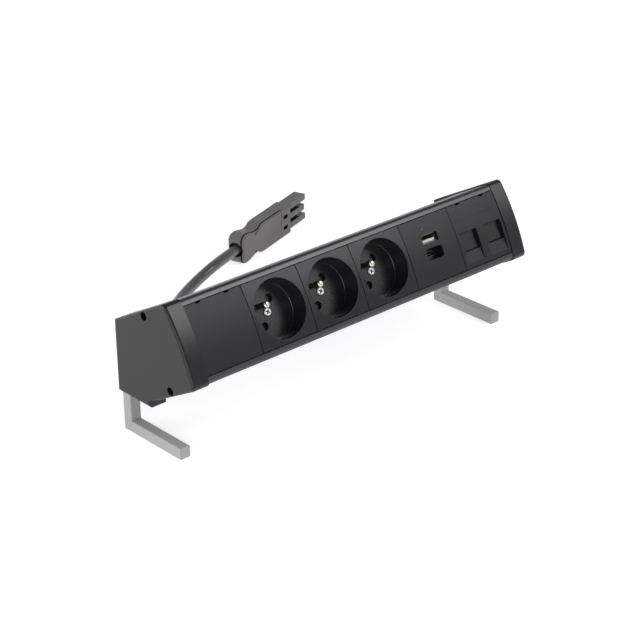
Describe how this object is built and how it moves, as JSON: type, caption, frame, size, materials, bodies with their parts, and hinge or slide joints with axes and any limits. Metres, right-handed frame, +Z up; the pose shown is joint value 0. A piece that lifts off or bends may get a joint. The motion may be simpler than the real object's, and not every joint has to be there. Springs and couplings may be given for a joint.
{
  "type": "desk power bar",
  "caption": "Leaning desk power bar on L-shaped feet, with earthed socket outlets, a USB charger, shuttered data outlets and a short lead with an installation plug.",
  "frame": {"origin": "middle of the bar, on the surface under its feet", "axes": "+X along the bar from the blank plate to the data outlets, +Y to the back, +Z up"},
  "size_m": [0.315, 0.2612, 0.1055],
  "materials": {
    "bar_paint": "satin dark grey powder coat on extruded aluminium",
    "cap_paint": "satin dark grey paint on die-cast zinc",
    "foot_steel": "matte silver-grey powder coat on square steel bar",
    "zinc_steel": "bright zinc plate",
    "front_plastic": "fine-grained semi-gloss moulded plastic, near black",
    "inner_plastic": "moulded plastic, near black",
    "base_plastic": "heat-resistant moulded plastic, off-white",
    "shutter_plastic": "self-lubricating moulded plastic",
    "nickel_brass": "nickel-plated turned brass",
    "contact_brass": "bare stamped brass",
    "port_steel": "deep-drawn plated steel",
    "board_laminate": "solder-masked glass laminate",
    "core_tape": "taped ferrite core",
    "can_sleeve": "shrink sleeve on an aluminium can",
    "lamp_plastic": "clear moulded light pipe",
    "window_plastic": "smoked clear plastic",
    "jack_plastic": "moulded plastic with gilt comb contacts",
    "brown_wire": "insulated copper, brown",
    "blue_wire": "insulated copper, blue",
    "green_wire": "insulated copper, green",
    "copper": "bare copper drops",
    "cord_rubber": "grey flexible jacket",
    "plug_plastic": "fine-grained moulded plastic, mid grey"
  },
  "bodies": {
    "bar": {"blank_plate": "front_plastic", "cap_screws": "zinc_steel", "charger_board": "board_laminate", "charger_capacitor": "can_sleeve", "charger_housing": "base_plastic", "charger_light": "lamp_plastic", "charger_plate": "front_plastic", "charger_transformer": "core_tape", "data_carrier": "inner_plastic", "data_jack_left": "jack_plastic", "data_jack_right": "jack_plastic", "data_plate": "front_plastic", "earth_wire": "green_wire", "end_cap_left": "cap_paint", "end_cap_right": "cap_paint", "feed_wires": "copper", "label_window": "window_plastic", "leg_left": "foot_steel", "leg_right": "foot_steel", "leg_screws": "zinc_steel", "live_wire": "brown_wire", "neutral_wire": "blue_wire", "plug_contacts": "contact_brass", "plug_cover": "plug_plastic", "plug_housing": "plug_plastic", "port_a_shell": "port_steel", "port_a_tongue": "inner_plastic", "port_c_shell": "port_steel", "port_c_tongue": "inner_plastic", "power_cord": "cord_rubber", "profile": "bar_paint", "rear_cover": "bar_paint", "socket_1_base": "base_plastic", "socket_1_contacts": "contact_brass", "socket_1_cover": "front_plastic", "socket_1_earth_pin": "nickel_brass", "socket_1_insert": "inner_plastic", "socket_1_screw": "zinc_steel", "socket_2_base": "base_plastic", "socket_2_contacts": "contact_brass", "socket_2_cover": "front_plastic", "socket_2_earth_pin": "nickel_brass", "socket_2_insert": "inner_plastic", "socket_2_screw": "zinc_steel", "socket_3_base": "base_plastic", "socket_3_contacts": "contact_brass", "socket_3_cover": "front_plastic", "socket_3_earth_pin": "nickel_brass", "socket_3_insert": "inner_plastic", "socket_3_screw": "zinc_steel", "strain_relief": "cord_rubber", "terminal_block": "base_plastic"},
    "data_shutter_left_body": {"data_shutter_left": "inner_plastic"},
    "data_shutter_right_body": {"data_shutter_right": "inner_plastic"},
    "socket_1_shutter_body": {"socket_1_shutter": "shutter_plastic"},
    "socket_2_shutter_body": {"socket_2_shutter": "shutter_plastic"},
    "socket_3_shutter_body": {"socket_3_shutter": "shutter_plastic"}
  },
  "joints": [
    {"name": "data_shutter_left_slide", "type": "slide", "parent": "bar", "child": "data_shutter_left_body", "axis": [0, 0.4772, 0.8788], "range_m": [0, 0.0135], "stiffness_N_per_m": 25, "springref_m": -0.012},
    {"name": "data_shutter_right_slide", "type": "slide", "parent": "bar", "child": "data_shutter_right_body", "axis": [0, 0.4772, 0.8788], "range_m": [0, 0.0135], "stiffness_N_per_m": 25, "springref_m": -0.012},
    {"name": "socket_1_shutter_slide", "type": "slide", "parent": "bar", "child": "socket_1_shutter_body", "axis": [0.848, -0.2529, -0.4657], "range_m": [0, 0.0066], "stiffness_N_per_m": 120, "springref_m": -0.008},
    {"name": "socket_2_shutter_slide", "type": "slide", "parent": "bar", "child": "socket_2_shutter_body", "axis": [0.848, -0.2529, -0.4657], "range_m": [0, 0.0066], "stiffness_N_per_m": 120, "springref_m": -0.008},
    {"name": "socket_3_shutter_slide", "type": "slide", "parent": "bar", "child": "socket_3_shutter_body", "axis": [0.848, -0.2529, -0.4657], "range_m": [0, 0.0066], "stiffness_N_per_m": 120, "springref_m": -0.008}
  ]
}
